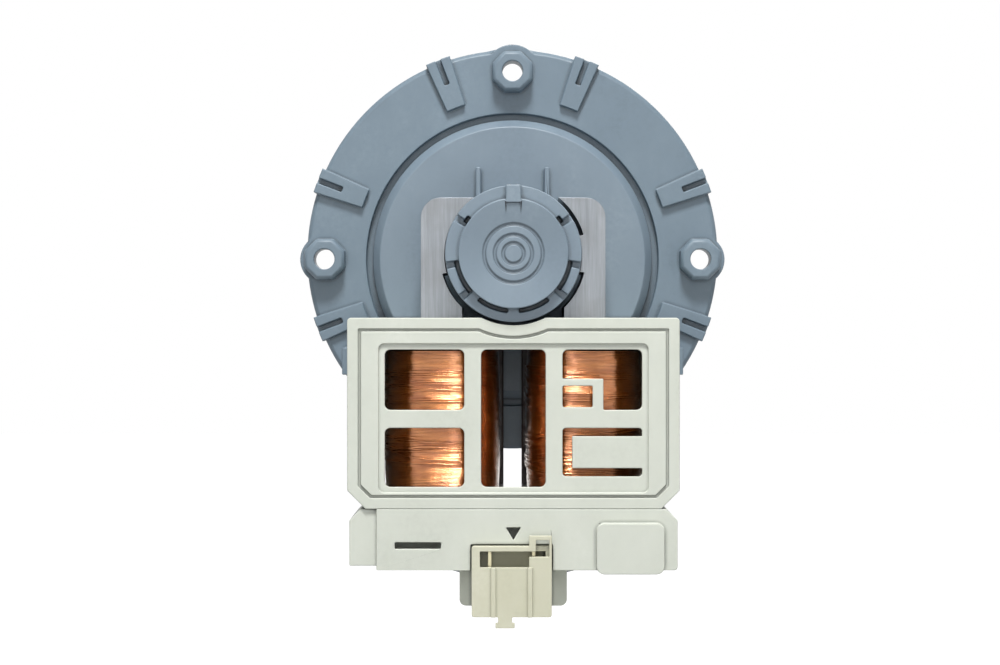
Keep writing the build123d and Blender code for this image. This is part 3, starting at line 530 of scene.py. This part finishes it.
def skin(rows, columns, start=0):
    """The quads between rows of points, each row a closed ring."""
    faces = []
    for row in range(rows - 1):
        near, far = start + row * columns, start + (row + 1) * columns
        for column in range(columns):
            after = (column + 1) % columns
            faces.append((near + column, near + after, far + after, far + column))
    return faces


def capped_skin(rows, columns):
    """The quads between rings of points, and a face at each end."""
    faces = skin(rows, columns)
    faces.append(tuple(range(columns - 1, -1, -1)))
    faces.append(tuple(range((rows - 1) * columns, rows * columns)))
    return faces


def turned_out(faces):
    """The same faces, seen from their other side."""
    return [tuple(reversed(face)) for face in faces]


# Lamination stacks: single sheets, with a fine groove between each and the next

SHEET_PITCH = 0.5 * MM
SHEET_GROOVE = 0.07 * MM
SHEET_INSET = 0.05 * MM
MITRE_LIMIT = 0.6


def rear_outline(node):
    """The outline of a node's rearmost flat face, as a ring of X and Z."""
    mesh = bmesh.new()
    mesh.from_mesh(node.data)
    mesh.transform(node.matrix_world)
    bmesh.ops.remove_doubles(mesh, verts=mesh.verts, dist=WELD)
    rear = min(v.co.y for v in mesh.verts)
    flat = {f for f in mesh.faces if all(v.co.y - rear < WELD for v in f.verts)}
    border = [e for e in mesh.edges if len(flat.intersection(e.link_faces)) == 1]
    follow = {}
    for edge in border:
        for loop in edge.link_loops:
            if loop.face in flat:
                follow[loop.vert] = loop.link_loop_next.vert
    first = vertex = next(iter(follow))
    ring = []
    while not ring or vertex is not first:
        ring.append((vertex.co.x, vertex.co.z))
        vertex = follow[vertex]
    mesh.free()
    return ring


def moved_in(ring, inset):
    """An anticlockwise ring of X and Z, moved towards its inside, with its sharp corners held back."""
    moved = []
    for index, (x, z) in enumerate(ring):
        before, after = ring[index - 1], ring[(index + 1) % len(ring)]
        normals = []
        for start, end in ((before, (x, z)), ((x, z), after)):
            run, rise = end[0] - start[0], end[1] - start[1]
            length = hypot(run, rise)
            normals.append((-rise / length, run / length))
        sum_x, sum_z = normals[0][0] + normals[1][0], normals[0][1] + normals[1][1]
        size = hypot(sum_x, sum_z)
        reach = inset * 2 / max(size, MITRE_LIMIT) / size
        moved.append((x + sum_x * reach, z + sum_z * reach))
    return moved


def turns_left(ring):
    """True if a ring of X and Z runs anticlockwise, with X to the right and Z up."""
    pairs = zip(ring, ring[1:] + ring[:1])
    return sum(x * next_z - next_x * z for (x, z), (next_x, next_z) in pairs) > 0


def sheet_stack(name):
    """A lamination stack in place of a node, made sheet by sheet from the node's own outline."""
    low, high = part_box(name)
    ring = rear_outline(nodes[name])
    if not turns_left(ring):
        ring.reverse()
    groove_ring = moved_in(ring, SHEET_INSET)
    sheets = round((high.y - low.y) / SHEET_PITCH)
    pitch = (high.y - low.y) / sheets
    vertices = []
    for sheet in range(sheets):
        rear = low.y + sheet * pitch
        vertices += [(x, rear, z) for x, z in groove_ring]
        for y in (rear + SHEET_GROOVE / 2, rear + pitch - SHEET_GROOVE / 2):
            vertices += [(x, y, z) for x, z in ring]
    vertices += [(x, high.y, z) for x, z in groove_ring]
    faces = turned_out(capped_skin(3 * sheets + 1, len(ring)))
    stack = add_piece(name + "_sheets", vertices, faces, "lamination_steel", SHARP_ANGLE)
    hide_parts(name)


# Coils: fine enamelled wire, turn by turn, with loose turns across the outer layer

COIL_SEEDS = {"left": 11, "right": 23}
WIRE_PITCH = 0.3 * MM
WIRE_RADIUS = 0.15 * MM
COIL_POWER = 3.0            # how square the outline is, where 2 is an ellipse
COIL_POINTS = 132           # points round a turn
RIDGE_POINTS = 5            # points across a turn's width
COIL_BARREL = 0.45 * MM     # how far the coil narrows towards its ends
COIL_LAYER = 0.27 * MM      # how deep the even turns lie below the widest outline
COIL_END_GAP = 0.25 * MM
COIL_LEAN = 0.045           # how much deeper the coil is on the side of the gap
WAVES = (                   # waves round a turn, drift from turn to turn, height
    (2, 0.045, 0.10 * MM), (5, -0.08, 0.06 * MM), (9, 0.13, 0.035 * MM),
)
BAND_TURNS = (2, 6)         # turns wound in one sweep
BAND_WAVES = (9, 17)
BAND_DEPTH = (0.015, 0.07)  # in millimetres, as the next
TURN_DEPTH = 0.04
BAND_SHIFT = 0.5            # in radians
LOOSE_TURNS = 26
LOOSE_POINTS = 90
LOOSE_SIDES = 7
LOOSE_DROP = 2.6 * MM
LOOSE_MIDDLE = (0.5, 0.72)  # where its middle lies, as a share of the way round
LOOSE_LENGTH = (0.25, 0.6)  # how long it is, as a share of a turn
LOOSE_LIFT = 1.6            # how far it stands out, in wire radii
LOOSE_EASE = 8              # it rises to that over an eighth of its length
LOOSE_DRIFT = 20


def eased(share):
    """A share from 0 to 1 with a smooth start and end."""
    return share * share * (3 - 2 * share)


def squared(wave):
    """A sine or cosine, pressed outwards so that an ellipse turns into a rounded rectangle."""
    return copysign(abs(wave) ** (2 / COIL_POWER), wave)


class Coil:
    """The shape of one coil's outer layer, from the box of the winding it stands for."""

    def __init__(self, side):
        low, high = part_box("winding_" + side)
        core_low, core_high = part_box("winding_core_" + side)
        self.middle_x = (low.x + high.x) / 2
        self.middle_y = (low.y + high.y) / 2
        self.half_width = (high.x - low.x) / 2
        self.half_depth = (high.y - low.y) / 2
        self.foot = core_low.z + COIL_END_GAP
        self.head = core_high.z - COIL_END_GAP
        self.height = self.head - self.foot
        self.lean = copysign(COIL_LEAN, -self.middle_x)
        self.dice = Random(COIL_SEEDS[side])
        self.phases = [self.dice.uniform(0, 2 * pi) for _ in WAVES]

    def sway(self, share, turn):
        """How far a turn strays up or down, at a share of the way round."""
        return sum(
            size * sin(2 * pi * (count * share + drift * turn) + phase)
            for (count, drift, size), phase in zip(WAVES, self.phases)
        )

    def place(self, share, z, inset):
        """A point on the coil at a share of the way round, so far in from its widest outline."""
        angle = 2 * pi * share
        across, along = squared(cos(angle)), squared(sin(angle))
        level = (z - self.foot) / self.height * 2 - 1
        inset += COIL_BARREL * level * level
        return (
            self.middle_x + across * (self.half_width - inset),
            self.middle_y + along * (self.half_depth - inset) * (1 + self.lean * across),
            z,
        )


def uneven_turns(coil, turns):
    """How each turn lies: turns wound in one sweep share a slight wave, and each has its own depth."""
    dice = coil.dice
    rows = []
    while len(rows) < turns:
        depth = dice.uniform(*BAND_DEPTH)
        waves = dice.randint(*BAND_WAVES)
        start = dice.uniform(0, 2 * pi)
        for _ in range(dice.randint(*BAND_TURNS)):
            base = dice.uniform(0, TURN_DEPTH)
            rows.append((base, depth, waves, start + dice.uniform(-BAND_SHIFT, BAND_SHIFT)))
    return rows[:turns]


def wound_layer(coil):
    """The vertices and faces of the turns that lie side by side."""
    turns = round(coil.height / WIRE_PITCH) - 1
    uneven = uneven_turns(coil, turns)
    vertices = []
    rows = turns * RIDGE_POINTS + 1
    for row in range(rows):
        turn = min(row // RIDGE_POINTS, turns - 1)
        phase = row / RIDGE_POINTS - turn
        ridge = sqrt(max(0.0, 1 - (2 * phase - 1) ** 2))
        base, depth, waves, start = uneven[turn]
        for column in range(COIL_POINTS):
            share = column / COIL_POINTS
            z = coil.head - (turn + phase + share) * WIRE_PITCH + coil.sway(share, row / RIDGE_POINTS)
            z = min(max(z, coil.foot), coil.head)
            rough = (base + depth * (1 + sin(2 * pi * waves * share + start))) * MM
            inset = COIL_LAYER + WIRE_RADIUS * (1 - ridge) + rough
            vertices.append(coil.place(share, z, inset))
    return vertices, skin(rows, COIL_POINTS)


def loose_line(coil):
    """The middle line of one stray turn that crosses the others at a slight angle."""
    middle = coil.dice.uniform(*LOOSE_MIDDLE)
    length = coil.dice.uniform(*LOOSE_LENGTH)
    z = coil.dice.uniform(coil.foot + 2 * LOOSE_DROP, coil.head - LOOSE_DROP)
    drop = coil.dice.uniform(-LOOSE_DROP, LOOSE_DROP)
    line = []
    for step in range(LOOSE_POINTS):
        share = step / (LOOSE_POINTS - 1)
        settle = eased(min(1.0, LOOSE_EASE * min(share, 1 - share)))
        inset = COIL_LAYER + WIRE_RADIUS - LOOSE_LIFT * WIRE_RADIUS * settle
        level = z + drop * eased(share) + coil.sway(middle + share, step / LOOSE_DRIFT)
        line.append(Vector(coil.place(middle - length / 2 + length * share, level, inset)))
    return line


def loose_turn(coil, start):
    """The vertices and faces of one stray turn."""
    line = loose_line(coil)
    vertices = []
    for step, point in enumerate(line):
        ahead = (line[min(step + 1, LOOSE_POINTS - 1)] - line[max(step - 1, 0)]).normalized()
        aside = ahead.cross(Vector((0, 0, 1))).normalized()
        up = aside.cross(ahead)
        for corner in range(LOOSE_SIDES):
            angle = 2 * pi * corner / LOOSE_SIDES
            vertices.append(tuple(point + WIRE_RADIUS * (cos(angle) * aside + sin(angle) * up)))
    return vertices, skin(LOOSE_POINTS, LOOSE_SIDES, start)


def add_coil(side):
    """One coil of fine wire in place of the model's core and outer turns."""
    coil = Coil(side)
    vertices, faces = wound_layer(coil)
    for _ in range(LOOSE_TURNS):
        more_vertices, more_faces = loose_turn(coil, len(vertices))
        vertices += more_vertices
        faces += more_faces
    piece = add_piece("coil_wire_" + side, vertices, faces, "enamelled_copper")
    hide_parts("winding_" + side, "winding_core_" + side)


# Bobbin webs: the dark strips that join each bobbin's two rims beside the gap, at the flange end

WEB_REACH = 1.9 * MM
WEB_THICKNESS = 1.2 * MM
WEB_EDGE = 0.35 * MM
WEB_RIBS = 7
WEB_RIB_POINTS = 8
WEB_RIB_HEIGHT = 0.25 * MM


def bobbin_web(side):
    """A strip from rim to rim along the bobbin's inner edge, with small ribs across its face."""
    low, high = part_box("bobbin_" + side)
    inner, turn = (high.x, 1) if side == "left" else (low.x, -1)
    front = high.y - WEB_EDGE
    face = front - WEB_THICKNESS - WEB_EDGE
    outer = inner - turn * WEB_REACH
    profile = [
        # X, Y, and whether the ribs lift this corner
        (inner, front, 0), (inner, front - WEB_THICKNESS, 1),
        (inner - turn * WEB_EDGE, face, 1), (outer, face, 1), (outer, front, 0),
    ]
    levels = WEB_RIB_POINTS * WEB_RIBS + 1
    vertices = []
    for level in range(levels):
        share = level / (levels - 1)
        rise = WEB_RIB_HEIGHT * max(0.0, cos(2 * pi * WEB_RIBS * share)) ** 3
        z = low.z + WEB_EDGE + share * (high.z - low.z - 2 * WEB_EDGE)
        vertices += [(x, y - lifted * rise, z) for x, y, lifted in profile]
    faces = capped_skin(levels, len(profile))
    if side == "left":
        faces = turned_out(faces)
    add_piece("bobbin_web_" + side, vertices, faces, "bobbin_plastic", SHARP_ANGLE)


add_camera()
add_world()
add_floor()
for lamp_name, (lamp_place, lamp_size, lamp_power) in LAMPS.items():
    add_lamp(lamp_name, lamp_place, lamp_size, lamp_power)
dress_nodes()
for stack_name in ("pole_stack_left", "pole_stack_right", "stator_yoke"):
    sheet_stack(stack_name)
for coil_side in ("left", "right"):
    add_coil(coil_side)
for web_side in ("left", "right"):
    bobbin_web(web_side)

SCENE.view_settings.view_transform = "Standard"
